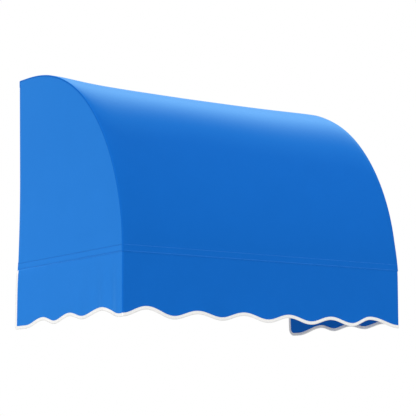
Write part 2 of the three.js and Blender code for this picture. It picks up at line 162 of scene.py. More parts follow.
print("mid grey #808080 is", round(linear("#808080")[0], 3), "in linear light")

# %% [markdown]
# The cover is solution-dyed acrylic canvas: the colour is in the fibre, so the cloth is one even blue and
# matt. Where it is seen at a grazing angle its colour is painted paler, as a painted sheen: first a slight
# glow, then a painted highlight that blooms to a pale sky blue, as along the shoulder in the photograph.
# Layer Weight tells how grazing the view is and mixes the two painted tones in. The low specular level
# keeps the blue deep, because a woven surface has no smooth skin to reflect the room. The weave is a plain
# one: warp and weft take turns on top, which a checker decides, and each thread is a rounded ridge. Real
# threads are 0.45 mm apart. They are drawn twice as coarse, so that a close view shows them. The ends of
# the cover are the same cloth, but they get a copy of the canvas painted a shade lighter, with a lighter
# glow: painted light, which makes them look a shade lighter than the front.

# %% Canvas
THREAD_PITCH = 0.9 * MM
CLOUDS_PER_METRE = 9
CANVAS_BLUE, CANVAS_DEEP = "#1169c7", "#0f66c2"
END_BLUE_PAINTED_LIGHTER, END_DEEP_PAINTED_LIGHTER = "#297fd9", "#277cd5"
CANVAS_PAINTED_GLOW, END_PAINTED_GLOW = "#1a71cc", "#3487de"
CANVAS_PAINTED_HIGHLIGHT = "#68adf4"
PAINTED_GLOW_SPAN, PAINTED_HIGHLIGHT_SPAN = (0.43, 0.56), (0.52, 0.83)


def woven(tree, pitch):
    """Height of a plain weave, from 0 to 1, on a UV map in metres."""
    uv = add(tree, "ShaderNodeUVMap", {"uv_map": "UVMap"}).outputs["UV"]
    ridges = [add(tree, "ShaderNodeTexWave", {"bands_direction": way},
                  {"Vector": uv, "Scale": wave_scale(pitch)}).outputs["Fac"] for way in "XY"]
    over = add(tree, "ShaderNodeTexChecker", inputs={"Vector": uv, "Scale": 1 / pitch}).outputs["Fac"]
    return add(tree, "ShaderNodeMix", inputs={"Factor": over, "A": ridges[0], "B": ridges[1]}).outputs[0]


def make_canvas(name, blue, deep, glow):
    """Matt woven cloth between two close blues, with a painted sheen that makes it paler at grazing
    angles.
    """
    material, tree, shader = new_material(name, Roughness=0.85, Specular_IOR_Level=0.06)
    place = add(tree, "ShaderNodeTexCoord").outputs["Object"]
    cloudy = add(tree, "ShaderNodeTexNoise",
                 inputs={"Vector": place, "Scale": CLOUDS_PER_METRE, "Detail": 3}).outputs["Fac"]
    weave = woven(tree, THREAD_PITCH)
    shade = add(tree, "ShaderNodeMix", {"data_type": "RGBA"},
                {"Factor": cloudy, "A": linear(blue), "B": linear(deep)}).outputs["Result"]
    # Painted sheen: as the view grows grazing, the colour is mixed towards a painted glow, then a painted
    # highlight.
    facing = add(tree, "ShaderNodeLayerWeight", inputs={"Blend": 0.5}).outputs["Facing"]
    for paler, (start, full) in ((glow, PAINTED_GLOW_SPAN), (CANVAS_PAINTED_HIGHLIGHT, PAINTED_HIGHLIGHT_SPAN)):
        share = add(tree, "ShaderNodeMapRange", {"interpolation_type": "SMOOTHSTEP"},
                    {"Value": facing, "From Min": start, "From Max": full}).outputs["Result"]
        shade = add(tree, "ShaderNodeMix", {"data_type": "RGBA"},
                    {"Factor": share, "A": shade, "B": linear(paler)}).outputs["Result"]
    bump = add(tree, "ShaderNodeBump", inputs={"Height": weave, "Strength": 0.25, "Distance": 0.1 * MM})
    wire(shader, Base_Color=shade, Normal=bump.outputs["Normal"])
    return material


canvas = make_canvas("acrylic_canvas_blue", CANVAS_BLUE, CANVAS_DEEP, CANVAS_PAINTED_GLOW)
# A copy of the canvas painted a shade lighter, as painted light, for the outer faces of the ends.
end_canvas_painted_lighter = make_canvas("acrylic_canvas_blue_painted_lighter", END_BLUE_PAINTED_LIGHTER, END_DEEP_PAINTED_LIGHTER, END_PAINTED_GLOW)
print("made", canvas.name, end_canvas_painted_lighter.name)

# %% [markdown]
# The binding is a white woven tape. It has a fine rib across its length, about 0.6 mm from rib to rib,
# drawn at 1.2 mm so that it shows in a close view, with painted shade: its grooves are painted a shade
# darker than its ridges. The cover is sewn with one blue polyester thread, drawn as two copies with
# painted light. On the front, where it stands up into the light, it is painted lighter than the canvas. On
# the ends, where each row lies in a deeper groove, it is painted darker than the canvas there, as painted
# shade. Thread is twisted from plies, whose slanted bands are also drawn twice as wide as real ones.

# %% Tape and thread
RIB_PITCH = 1.2 * MM
PLY_PITCH = 0.6 * MM
TAPE_GROOVE_PAINTED_SHADE, TAPE_RIDGE = "#eeedeb", "#f5f4f2"


def make_tape():
    """White woven tape with ribs across its length, and painted shade in the grooves between them."""
    material, tree, shader = new_material(
        "woven_tape_white", Roughness=0.8, Specular_IOR_Level=0.2, Sheen_Weight=0.1, Sheen_Roughness=0.4)
    uv = add(tree, "ShaderNodeUVMap", {"uv_map": "UVMap"}).outputs["UV"]
    ribs = add(tree, "ShaderNodeTexWave", {"bands_direction": "X"},
               {"Vector": uv, "Scale": wave_scale(RIB_PITCH)}).outputs["Fac"]
    # Painted shade: the same wave as the ribs' bump paints the grooves between them a shade darker.
    shade = add(tree, "ShaderNodeMix", {"data_type": "RGBA"},
                {"Factor": ribs, "A": linear(TAPE_GROOVE_PAINTED_SHADE), "B": linear(TAPE_RIDGE)}).outputs["Result"]
    bump = add(tree, "ShaderNodeBump", inputs={"Height": ribs, "Strength": 0.3, "Distance": 0.1 * MM})
    wire(shader, Base_Color=shade, Normal=bump.outputs["Normal"])
    return material


def make_thread(name, dark, light):
    """Twisted sewing thread: fine slanted plies in two close shades."""
    material, tree, shader = new_material(name, Roughness=0.6, Specular_IOR_Level=0.2)
    place = add(tree, "ShaderNodeTexCoord").outputs["Object"]
    plies = add(tree, "ShaderNodeTexWave", {"bands_direction": "DIAGONAL"},
                {"Vector": place, "Scale": wave_scale(PLY_PITCH)}).outputs["Fac"]
    shade = add(tree, "ShaderNodeMix", {"data_type": "RGBA"},
                {"Factor": plies, "A": linear(dark), "B": linear(light)}).outputs["Result"]
    wire(shader, Base_Color=shade)
    return material


tape = make_tape()
# One thread in two painted copies: the front's painted lighter, as painted light, the ends' darker, as
# painted shade.
thread_painted_lighter = make_thread("polyester_thread_blue", "#2f7fdc", "#4290e9")
thread_painted_shade = make_thread("polyester_thread_blue_painted_shade", "#1f68c0", "#2c78cf")
white_thread = make_thread("polyester_thread_white", "#d9dbdf", "#eceef0")
print("made", tape.name, thread_painted_lighter.name, thread_painted_shade.name, white_thread.name)

# %% [markdown]
# The tubes are hot-dip galvanised: the zinc froze into flat crystals, some 10 mm across, that each take
# the light a little differently. The brackets are pressed from galvanised sheet, with smaller crystals. A
# Voronoi texture gives the crystals, because each of its cells has one even value, and that value sets
# both tone and roughness. A fine grain roughens them all.

# %% Galvanised steel
GRAINS_PER_METRE = 700


def make_galvanised(name, crystal, dark, light, rough):
    """Zinc crystals of one size, between two tones, the lighter ones a little duller."""
    material, tree, shader = new_material(name, Metallic=1.0)
    place = add(tree, "ShaderNodeTexCoord").outputs["Object"]
    cells = add(tree, "ShaderNodeTexVoronoi", inputs={"Vector": place, "Scale": 1 / crystal})
    tone = add(tree, "ShaderNodeSeparateColor", inputs={"Color": cells.outputs["Color"]}).outputs["Red"]
    shade = add(tree, "ShaderNodeMix", {"data_type": "RGBA"},
                {"Factor": tone, "A": linear(dark), "B": linear(light)}).outputs["Result"]
    gloss = add(tree, "ShaderNodeMapRange", inputs={"Value": tone, "To Min": rough, "To Max": rough + 0.1})
    grain = add(tree, "ShaderNodeTexNoise",
                inputs={"Vector": place, "Scale": GRAINS_PER_METRE, "Detail": 2}).outputs["Fac"]
    bump = add(tree, "ShaderNodeBump", inputs={"Height": grain, "Strength": 0.15, "Distance": 0.05 * MM})
    wire(shader, Base_Color=shade, Roughness=gloss.outputs["Result"], Normal=bump.outputs["Normal"])
    return material


galvanised = make_galvanised("galvanised_tube_steel", 10 * MM, "#9ba1a5", "#b4babd", 0.38)
pressed = make_galvanised("galvanised_pressed_steel", 5 * MM, "#959ba0", "#adb3b7", 0.42)
print("made", galvanised.name, pressed.name)

# %% [markdown]
# The corner connectors are die-cast aluminium. The skin of the mould leaves fine pebbles, drawn about a
# millimetre wide, and the metal's flow leaves faint lighter and darker places. The screws and bolts are
# bright zinc-plated, a smooth and slightly clouded finish.

# %% Cast aluminium and bright zinc
PEBBLES_PER_METRE, FLOWS_PER_METRE = 900, 60
ZINC_CLOUDS_PER_METRE = 250


def make_cast():
    """Satin aluminium with a pebbled skin."""
    material, tree, shader = new_material("die_cast_aluminium", Metallic=1.0, Roughness=0.5)
    place = add(tree, "ShaderNodeTexCoord").outputs["Object"]
    pebbles = add(tree, "ShaderNodeTexNoise",
                  inputs={"Vector": place, "Scale": PEBBLES_PER_METRE, "Detail": 1}).outputs["Fac"]
    flow = add(tree, "ShaderNodeTexNoise",
               inputs={"Vector": place, "Scale": FLOWS_PER_METRE, "Detail": 3}).outputs["Fac"]
    shade = add(tree, "ShaderNodeMix", {"data_type": "RGBA"},
                {"Factor": flow, "A": linear("#a9adb0"), "B": linear("#c3c6c9")}).outputs["Result"]
    bump = add(tree, "ShaderNodeBump", inputs={"Height": pebbles, "Strength": 0.4, "Distance": 0.08 * MM})
    wire(shader, Base_Color=shade, Normal=bump.outputs["Normal"])
    return material


def make_zinc():
    """Bright plating whose tone and gloss cloud over a little."""
    material, tree, shader = new_material("bright_zinc_plating", Metallic=1.0)
    place = add(tree, "ShaderNodeTexCoord").outputs["Object"]
    cloudy = add(tree, "ShaderNodeTexNoise",
                 inputs={"Vector": place, "Scale": ZINC_CLOUDS_PER_METRE, "Detail": 3}).outputs["Fac"]
    shade = add(tree, "ShaderNodeMix", {"data_type": "RGBA"},
                {"Factor": cloudy, "A": linear("#bfc3c4"), "B": linear("#d8dad8")}).outputs["Result"]
    gloss = add(tree, "ShaderNodeMapRange", inputs={"Value": cloudy, "To Min": 0.22, "To Max": 0.38})
    wire(shader, Base_Color=shade, Roughness=gloss.outputs["Result"])
    return material


cast = make_cast()
zinc = make_zinc()
print("made", cast.name, zinc.name)

# %% [markdown]
# The cover's sizes are read from the solid pieces. Cloth is half a millimetre thick, so the sheets below
# lie within the thicker solids that they replace: the curved panel is outermost, the end panels are
# tucked under its edge, and the valances hang from inside the cover. Two rows of stitches join cover and
# valances, each row 3 mm in from the edge of one of them.

# %% Sizes of the cover
CLOTH = 0.5 * MM
SOLID_CLOTH = 1.2 * MM
panel_low, panel_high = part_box("front_panel")
valance_low, valance_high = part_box("front_valance")
HALF_WIDTH = panel_high.x
DEPTH = -panel_low.y
TOP = panel_high.z
REAR = panel_high.y
COVER_LOW = panel_low.z
VALANCE_TOP = valance_high.z
VALANCE_LOW = valance_low.z
SEAM_MARGIN = 3 * MM
SEAM_ROWS = (COVER_LOW + SEAM_MARGIN, VALANCE_TOP - SEAM_MARGIN)
HEM_DROP = 22 * MM
print("cover", round(2 * HALF_WIDTH, 4), "wide,", round(DEPTH, 4), "deep,",
      round(TOP - VALANCE_LOW, 4), "high")

# %% [markdown]
# An operator acts on whatever is selected, so each helper first selects just its own piece. Faces and
# edges are chosen in code, by a list of yes and no, and the operator then runs on them in edit mode. The
# last helper gives the flat measures at which a sheet gets its rows and columns.

# %% Working helpers
def only(piece):
    """Makes a piece the one active and selected object."""
    bpy.ops.object.select_all(action="DESELECT")
    piece.select_set(True)
    bpy.context.view_layer.objects.active = piece


def edit_chosen(piece, kind, chosen, operator):
    """Selects the chosen faces or edges of a piece and runs an operator on them."""
    only(piece)
    bpy.ops.object.mode_set(mode="EDIT")
    bpy.ops.mesh.select_mode(type=kind)
    bpy.ops.mesh.select_all(action="DESELECT")
    bpy.ops.object.mode_set(mode="OBJECT")
    elements = piece.data.polygons if kind == "FACE" else piece.data.edges
    elements.foreach_set("select", chosen)
    bpy.ops.object.mode_set(mode="EDIT")
    operator()
    bpy.ops.object.mode_set(mode="OBJECT")


def apply_modifier(piece, kind, **settings):
    """Adds a modifier with its settings and applies it."""
    only(piece)
    modifier = piece.modifiers.new(kind.lower(), kind)
    for key, value in settings.items():
        setattr(modifier, key, value)
    bpy.ops.object.modifier_apply(modifier=modifier.name)


def finish_piece(piece, slot, *replaced):
    """Puts a finished piece on its body and hides the solids that it stands for. The slot is not used."""
    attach(piece, "root")
    if replaced:
        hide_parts(*replaced)
    return piece


def stations(*stretches):
    """Numbers from several stretches, each (first, last, steps), in order and without repeats."""
    values = np.concatenate([np.linspace(first, last, steps + 1) for first, last, steps in stretches])
    return [float(v) for v in np.unique(values.round(7))]


print("two stretches that meet:", stations((0, 0.2, 2), (0.2, 1, 2)))

# %% [markdown]
# Cloth pieces are cut flat and then bent. So each one is a grid, and a place function gives each vertex
# its point in space and its flat measures, from the vertex's column and row. The grid is Blender's own,
# which comes with a UV map. The map is overwritten with the flat measures in metres, so the weave keeps
# its real size and follows the cloth. Solidify then gives the cloth its thickness, inwards from the
# visible face.

# %% Cloth helpers
CLOTH_SMOOTH = math.radians(50)


def grid_of(name, columns, rows, place, keep=None, flip=False):
    """A sheet whose vertices place puts in space, with their flat measures. keep says which faces stay."""
    bpy.ops.object.select_all(action="DESELECT")
    across, down = len(columns) - 1, len(rows) - 1
    bpy.ops.mesh.primitive_grid_add(x_subdivisions=across, y_subdivisions=down, size=2)
    piece = bpy.context.object
    piece.name = piece.data.name = name
    mesh = piece.data
    cells, measures = [], []
    for vertex in mesh.vertices:
        cell = (columns[round((vertex.co.x + 1) / 2 * across)], rows[round((vertex.co.y + 1) / 2 * down)])
        vertex.co, measure = place(*cell)
        cells.append(cell)
        measures.append(measure)
    for loop, corner in zip(mesh.loops, mesh.uv_layers.active.data):
        corner.uv = measures[loop.vertex_index]
    if keep:
        centres = [np.mean([cells[i] for i in face.vertices], axis=0) for face in mesh.polygons]
        edit_chosen(piece, "FACE", [not keep(*centre) for centre in centres],
                    lambda: bpy.ops.mesh.delete(type="FACE"))
    if flip:
        mesh.flip_normals()
    return piece


def flat_area(piece):
    """Area of a sheet by its UV map, which holds its flat measures."""
    total = 0.0
    uv = piece.data.uv_layers.active.data
    for face in piece.data.polygons:
        points = [uv[i].uv for i in face.loop_indices]
        total += abs(sum(a.x * b.y - b.x * a.y for a, b in zip(points, points[1:] + points[:1]))) / 2
    return total


def thicken(piece, outer, inner=None, thickness=CLOTH):
    """Thickness inwards from the visible face, a finish for both faces or one for each, smooth shading."""
    for material in (outer, inner):
        if material:
            piece.data.materials.append(material)
    apply_modifier(piece, "SOLIDIFY", thickness=thickness, offset=-1, material_offset=1 if inner else 0)
    bpy.ops.object.shade_smooth_by_angle(angle=CLOTH_SMOOTH)


print("cloth is", round(CLOTH / MM, 2), "mm thick")

# %% [markdown]
# The side profile is flat for the first 50 mm from the wall, then a superellipse, which is fuller than a
# circle at the shoulder, and then upright down to the seam. It starts with the hem that is folded down
# behind the head rail. The profile is held as points with their distance along the cloth, so a flat
# measure finds its place. The points lie closer together at the rows of stitches, where the cloth steps
# in.

# %% Side profile
FLAT = 50 * MM
ARC_ABOVE_RAIL = 22.6 * MM
ARC_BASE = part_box("front_rail")[1].z + ARC_ABOVE_RAIL
ARC_RISE = TOP - ARC_BASE
ARC_REACH = DEPTH - FLAT
ARC_POWER_OUT, ARC_POWER_UP = 2.27, 1.8
ARC_STEPS = 80
HEM_FOLD = 5 * MM
ROW_ZONE = 3 * MM


def profile_points():
    """(y, z) from the hem's edge behind the head rail, over the shoulder, down to the cover's end."""
    hem = [(REAR, z) for z in np.linspace(TOP - HEM_DROP, TOP - HEM_FOLD, 5)]
    fold = [(REAR - HEM_FOLD * (1 - math.cos(a)), TOP - HEM_FOLD * (1 - math.sin(a)))
            for a in np.linspace(0, math.pi / 2, 9)[1:]]
    flat = [(y, TOP) for y in np.linspace(REAR - HEM_FOLD, -FLAT, 5)[1:]]
    arc = [(-FLAT - ARC_REACH * math.sin(a) ** (2 / ARC_POWER_OUT),
            ARC_BASE + ARC_RISE * max(math.cos(a), 0) ** (2 / ARC_POWER_UP))
           for a in np.linspace(0, math.pi / 2, ARC_STEPS + 1)[1:]]
    near_rows = [(row - ROW_ZONE, row + ROW_ZONE, 6) for row in SEAM_ROWS]
    heights = stations((ARC_BASE, COVER_LOW, 8), *near_rows)
    drop = [(-DEPTH, z) for z in reversed(heights) if COVER_LOW <= z < ARC_BASE]
    return np.array(hem + fold + flat + arc + drop)


profile = profile_points()
distance = np.concatenate([[0], np.cumsum(np.hypot(*np.diff(profile, axis=0).T))])
PROFILE_LENGTH = float(distance[-1])
tangent = np.gradient(profile, distance, axis=0)
tangent /= np.hypot(*tangent.T)[:, None]
outward = np.stack([tangent[:, 1], -tangent[:, 0]], axis=1)
print("profile", len(profile), "points,", round(PROFILE_LENGTH, 4), "m of cloth from hem to seam")

# %% [markdown]
# Sewn cloth isn't dead flat. Between the two ribs the curved panel sinks by about a centimetre, more on
# the left than on the right, where the crest even stands up a little. Each row of stitches pulls its
# cloth in: a short step at the row, and a slow return below it, deeper on the ends than on the front. The
# ends stand out a little at the bottom. These small amounts catch the light, and they tell a sewn cover
# from a folded plate. They are formulas, because a stretched cover has little left that a cloth
# simulation could move.

# %% How the cloth gives
PRESS_FRONT, PRESS_END = 0.3 * MM, 1.6 * MM
PRESS_STEP, PRESS_RETURN = 4 * MM, 9 * MM
SPREAD_LEFT, SPREAD_RIGHT, RETURN_RIGHT = 4 * MM, 9.5 * MM, 6 * MM
SPREAD_FROM, SPREAD_OVER = 110 * MM, 130 * MM
SAG_LEFT, SAG_RIGHT = 15 * MM, 6 * MM
SAG_GROWS, SAG_FADES = 0.35, 0.6
RIB_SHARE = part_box("rib_right")[0].x / HALF_WIDTH
CREST_RISE, CREST_REACH, CREST_DEPTH = 5 * MM, 300 * MM, 80 * MM


def smooth(t):
    """0 up to 1 with level ends."""
    t = min(max(t, 0), 1)
    return t * t * (3 - 2 * t)


def press(z, depth):
    """How far stitches pull the cloth in at a height: a short step at each row, a slow return below."""
    steps = (smooth(0.5 + (row - z) / PRESS_STEP) * math.exp(-max(row - z, 0) / PRESS_RETURN)
             for row in SEAM_ROWS)
    return depth * sum(steps)


def sag(x, y, z):
    """How far the curved panel sinks between the ribs, by the angle round its shoulder in radians."""
    across = x / HALF_WIDTH
    around = math.atan2(max(-FLAT - y, 0) / ARC_REACH, max(z - ARC_BASE, 0) / ARC_RISE)
    free = max(1 - (across / RIB_SHARE) ** 4, 0) ** 1.5
    depth = (SAG_LEFT + SAG_RIGHT) / 2 + (SAG_RIGHT - SAG_LEFT) / 2 * across
    return depth * free * smooth(around / SAG_GROWS) * smooth((math.pi / 2 - around) / SAG_FADES)


def crest(x, y, z):
    """How far the crest stands up towards the right-hand end."""
    over = math.sin(math.pi * min(-y / CREST_REACH, 1)) ** 2
    return CREST_RISE * max(x / HALF_WIDTH, 0) * over * smooth(1 - (TOP - z) / CREST_DEPTH)


def hang(z):
    """0 at the cover's lower edge and 1 at the valance's own."""
    return min(max((COVER_LOW - z) / (COVER_LOW - VALANCE_LOW), 0), 1)


def spread(point):
    """Moves a point out at the ends: on the left below the seam, on the right from above it."""
    if point.x < 0:
        out = -SPREAD_LEFT * hang(point.z) ** 0.5
    else:
        back = RETURN_RIGHT * hang(point.z) * (point.y / DEPTH) ** 2
        out = SPREAD_RIGHT * smooth((COVER_LOW + SPREAD_FROM - point.z) / SPREAD_OVER) - back
    return point + Vector((out * (point.x / HALF_WIDTH) ** 4, 0, 0))


print("the middle sinks by up to", round(max(sag(0, y, z) for y, z in profile) / MM, 1), "mm")

# %% [markdown]
# The curved panel is one sheet from the hem behind the head rail to the seam. Near each end panel it is
# rolled down over a 2 mm radius with a short skirt that covers the end panel's cut edge, as a turned seam
# does. The hem is cut out around the three wall brackets. It could be cut from a copy of the solid, but a
# grid that is bent along the profile keeps the weave even and lets the cloth sink and roll.

# %% Curved panel
ROLL = 2.0 * MM
SKIRT = 2.2 * MM
ROLL_FROM = HALF_WIDTH - ROLL
ROLL_TURN = ROLL * math.pi / 2
PANEL_EDGE = ROLL_FROM + ROLL_TURN + SKIRT
BRACKET_ROOM = 2 * MM
bracket_spans = []
for word in ("left", "middle", "right"):
    bracket_low, bracket_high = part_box(f"head_bracket_{word}")
    bracket_spans.append((bracket_low.x - BRACKET_ROOM, bracket_high.x + BRACKET_ROOM))


def on_curve(across, along, lift=0.0):
    """Point of the curved panel at a flat measure across and along, raised from the cloth."""
    y, z = (float(np.interp(along, distance, profile[:, i])) for i in (0, 1))
    out_y, out_z = (float(np.interp(along, distance, outward[:, i])) for i in (0, 1))
    past = abs(across) - ROLL_FROM
    x, drop = across, 0.0
    if past > 0:
        turn = min(past / ROLL, math.pi / 2)
        x = math.copysign(ROLL_FROM + ROLL * math.sin(turn), across)
        drop = ROLL * (1 - math.cos(turn)) + max(past - ROLL_TURN, 0)
    pressed_in = press(z, PRESS_FRONT) if y < -FLAT and past <= 0 else 0
    lower = drop + sag(x, y, z) + pressed_in - lift
    return spread(Vector((x, y - lower * out_y, z - lower * out_z + crest(x, y, z))))


def outside_brackets(across, along):
    """Whether a face of the curved panel stays: all but the hem's cutouts round the brackets."""
    return along > HEM_DROP - HEM_FOLD or not any(low < across < high for low, high in bracket_spans)


columns = stations((-PANEL_EDGE, -ROLL_FROM, 7), (-ROLL_FROM, ROLL_FROM, 60),
                   (ROLL_FROM, PANEL_EDGE, 7), *[(low, high, 1) for low, high in bracket_spans])
curved_panel = grid_of("curved_panel", columns, [float(d) for d in distance],
                       lambda a, d: (on_curve(a, d), (a, d)), keep=outside_brackets, flip=True)
thicken(curved_panel, canvas)
finish_piece(curved_panel, "canvas", "front_panel")
print("curved panel", round(2 * PANEL_EDGE, 3), "x", round(PROFILE_LENGTH, 3), "m")

# %% [markdown]
# Each end panel is a flat sheet in its frame of three tubes. It hangs in by a hair between them, and
# stands out a little low down by the wall, more on the left. The seam on it isn't level: it sinks by 5 mm
# towards the wall, as the photograph shows. A point of an end is therefore found from its distance to the
# wall and its height in three steps.

# %% Shape of an end
END_FACE = HALF_WIDTH - 0.7 * MM
END_SAG = 2.5 * MM
END_FLARE = {"left": 9 * MM, "right": 2 * MM}
FLARE_SHARE = 0.5
SEAM_DROOP, DROOP_FADE = 5 * MM, 60 * MM


def end_bulge(word, y, z):
    """How far an end panel hangs in between its tubes, less how far it stands out low down by the wall."""
    out = min(max(-y / DEPTH, 0), 1)
    up = min(max((z - COVER_LOW) / (TOP - COVER_LOW), 0), 1)
    hollow = END_SAG * math.sin(math.pi * out) * math.sin(math.pi * up) ** 2
    return hollow - END_FLARE[word] * (1 - out) ** 2 * max(1 - up / FLARE_SHARE, 0) ** 2


def droop(y, z):
    """How far an end's seam sinks towards the wall, less so higher up and towards the free edge."""
    near = smooth(1 - (z - VALANCE_TOP) / DROOP_FADE) * (1 - hang(z))
    return SEAM_DROOP * max(1 + y / DEPTH, 0) * near


def on_end(word, y, z, lift=0.0):
    """Point of an end panel's outer face, raised from the cloth."""
    x = SIDES[word] * (END_FACE - end_bulge(word, y, z) - press(z, PRESS_END) + lift)
    return spread(Vector((x, y, z + crest(x, y, z) - droop(y, z))))


seam_middle = on_end("left", -DEPTH / 2, VALANCE_TOP)
print("left end panel, middle of the seam:", [round(v, 4) for v in seam_middle])

# %% [markdown]
# The end panel has the side profile, a hair smaller, so that its cut edge hides under the curved panel's
# skirt. At the wall it turns in behind the upright as a hem. Its rows are level lines, closer together at
# the shoulder. Its columns are numbered: 0 to 1 across the face, 1 to 2 round the fold, 2 to 3 along the
# hem.

# %% End panels
END_INSET = 1.2 * MM
END_FOLD = 2.5 * MM
END_HEM = 22 * MM
HEM_TOP = TOP - HEM_DROP - 1 * MM
LEAST_ROW = 0.3 * MM


def end_rows():
    """(edge y, z) of an end panel's rows: the profile moved in by the inset, from the shoulder down."""
    first = int(np.argmax(profile[:, 0] <= -FLAT))
    inner = profile[first:] - END_INSET * outward[first:]
    rows = [inner[0]]
    for y, z in inner[1:]:
        if z < rows[-1][1] - LEAST_ROW:
            rows.append((y, z))
    return [(float(y), float(z)) for y, z in rows]


def rear_limit(z):
    """Where an end panel's flat face ends at the wall: before the fold, or inside the rounded shoulder."""
    if z < HEM_TOP:
        return REAR - END_FOLD
    over = max(z - (TOP - HEM_FOLD), 0)
    return REAR - HEM_FOLD + math.sqrt(max(HEM_FOLD ** 2 - over ** 2, 0)) - END_INSET


def make_end(word):
    """One end panel: its face, the fold at the wall and the hem behind the upright."""
    rows = end_rows()

    def place(column, index):
        """Point and flat measures for a column from 0 to 3 and a row by its number."""
        edge, z = rows[round(index)]
        limit = rear_limit(z)
        if column <= 1:
            y = edge + (limit - edge) * column
            return on_end(word, y, z), (y, z)
        turn = min(column - 1, 1) * math.pi / 2
        hem = max(column - 2, 0) * END_HEM
        face = on_end(word, limit, z)
        x = abs(face.x) - END_FOLD * (1 - math.cos(turn)) - hem
        y = limit + END_FOLD * math.sin(turn)
        return Vector((SIDES[word] * x, y, face.z)), (limit + END_FOLD * turn + hem, z)

    def keep(column, index):
        """The face is whole. The fold and the hem end above the seam and below the hem on top."""
        return column < 1 or VALANCE_TOP < rows[round(index)][1] < HEM_TOP

    piece = grid_of(f"end_panel_{word}", stations((0, 1, 36), (1, 2, 6), (2, 3, 4)),
                    list(range(len(rows))), place, keep=keep, flip=word == "right")
    # Outer face in the canvas painted lighter, as painted light; inner face in the plain canvas.
    thicken(piece, end_canvas_painted_lighter, canvas)
    finish_piece(piece, "canvas", f"side_panel_{word}")
    return piece


end_panels = [make_end(word) for word in SIDES]
print("end panels", [len(p.data.polygons) for p in end_panels], "faces")

# %% [markdown]
# The valances hang free below the seam. Their lower edge is cut to a wave, about 18 mm from its lobes to
# its notches, and a hand-guided cut is never quite even. So each edge is given by its turning points,
# measured in the photograph, in millimetres: the distance from the front left corner or from the front,
# and the height above the valance's lowest line. A half cosine joins each turning point to the next.

# %% Wavy edges
FRONT_TURNS = [(0, -2.5), (86, 20), (186, -6), (279, 12.5), (372, -4), (466, 14), (559, -5), (652, 13),
               (745, -5), (838, 13), (931, -5), (1013, 18.5), (1149, -6)]
END_TURNS = {"left": [(0, -3), (14, -3.5), (107, 21.5), (204, 2.5), (270, 17), (348, -1.5), (409, 13.5),
                      (496, -6.5)],
             "right": [(0, -4), (80, 14), (160, 2), (240, 16), (315, 5), (386, 21), (500, 1), (560, 3)]}
REAR_CORNER = {"left": 9 * MM, "right": 26 * MM}
VALANCE_REAR = -1.5 * MM
VALANCE_HALF = HALF_WIDTH - 1.5 * MM


def wave(turns, along):
    """Height of an edge above the lowest line, joining its turning points by half cosines."""
    at = along / MM
    for (near, low), (far, high) in zip(turns, turns[1:]):
        if at <= far:
            share = max((at - near) / (far - near), 0)
            return MM * (low + (high - low) * (1 - math.cos(math.pi * share)) / 2)
    return MM * turns[-1][1]


def front_edge(u):
    """Height of the front valance's edge at a flat measure from its middle."""
    return VALANCE_LOW + wave(FRONT_TURNS, u + VALANCE_HALF)


def end_edge(word, y):
    """Height of an end valance's edge at a distance from the wall, with a round corner at the wall."""
    corner = REAR_CORNER[word]
    into = max(y - (VALANCE_REAR - corner), 0)
    rise = corner - math.sqrt(max(corner ** 2 - into ** 2, 0))
    return VALANCE_LOW + wave(END_TURNS[word], y + DEPTH) + rise


print("front valance has", len(FRONT_TURNS) // 2, "waves")

# %% [markdown]
# Free cloth never hangs quite plane, so each valance gets soft folds that grow from nothing at the seam.
# The front one is held at both corners, and two long ripples cross it. The end ones fold close to the
# front corner and stand out a little towards the wall. In the seam the valances are the inner ply, just
# inside the cloth above. The front valance also turns round each corner and laps over the front edge of
# the end valance, where the real ones are sewn together.

# %% Folds of the loose cloth
PLY_FRONT = DEPTH - CLOTH - 0.1 * MM
PLY_END = HALF_WIDTH - 2.2 * MM
END_FRONT = -PLY_FRONT + 3.2 * MM
CORNER_RADIUS = 2.6 * MM
FRONT_HALF = VALANCE_HALF - CORNER_RADIUS
FRONT_SWING, FRONT_RIPPLES = 3 * MM, ((0.6, 410 * MM, 0.8), (0.4, 230 * MM, 2.1))
END_SWING, END_RIPPLE, END_FADE = 2.4 * MM, 75 * MM, 120 * MM
CORNER_SHARE = 0.06
VALANCE_FLARE = {"left": 5 * MM, "right": 1 * MM}


def front_fold(u, z):
    """How far the front valance swings out, from ripples of (share, length, start)."""
    free = 1 - min(abs(u) / FRONT_HALF, 1) ** 4
    ripple = sum(share * math.sin(2 * math.pi * u / length + start)
                 for share, length, start in FRONT_RIPPLES)
    return FRONT_SWING * free * ripple * hang(z) ** 1.5


def end_fold(word, y, z):
    """How far an end valance swings out: soft folds by the corner, and a flare towards the wall."""
    along = min(max((y - END_FRONT) / (VALANCE_REAR - END_FRONT), 0), 1)
    folds = math.sin(2 * math.pi * (y - END_FRONT) / END_RIPPLE) * math.exp(-(y - END_FRONT) / END_FADE)
    free = min(along / CORNER_SHARE, 1)
    flare = VALANCE_FLARE[word] * along ** 2.5 * hang(z) ** 0.25
    panel_flare = min(end_bulge(word, y, max(z, COVER_LOW)), 0)
    return free * (END_SWING * folds * hang(z) ** 0.7 + flare) - panel_flare


def on_front(u, z, lift=0.0):
    """Point of the front valance: straight, then round the corner and a little way along the end."""
    past = abs(u) - FRONT_HALF
    out = front_fold(u, z) - press(z, PRESS_FRONT) + lift
    if past <= 0:
        return spread(Vector((u, -PLY_FRONT - out, z)))
    turn = min(past / CORNER_RADIUS, math.pi / 2)
    back = max(past - CORNER_RADIUS * math.pi / 2, 0)
    radius = CORNER_RADIUS + out
    x = FRONT_HALF + radius * math.sin(turn)
    y = -PLY_FRONT + CORNER_RADIUS - radius * math.cos(turn) + back
    return spread(Vector((math.copysign(x, u), y, z)))


def on_end_valance(word, y, z, lift=0.0):
    """Point of an end valance's outer face. The seam pulls it in half as far as the panel over it."""
    out = end_fold(word, y, z) - press(z, PRESS_END / 2) + lift
    return spread(Vector((SIDES[word] * (PLY_END + out), y, z - droop(y, z))))


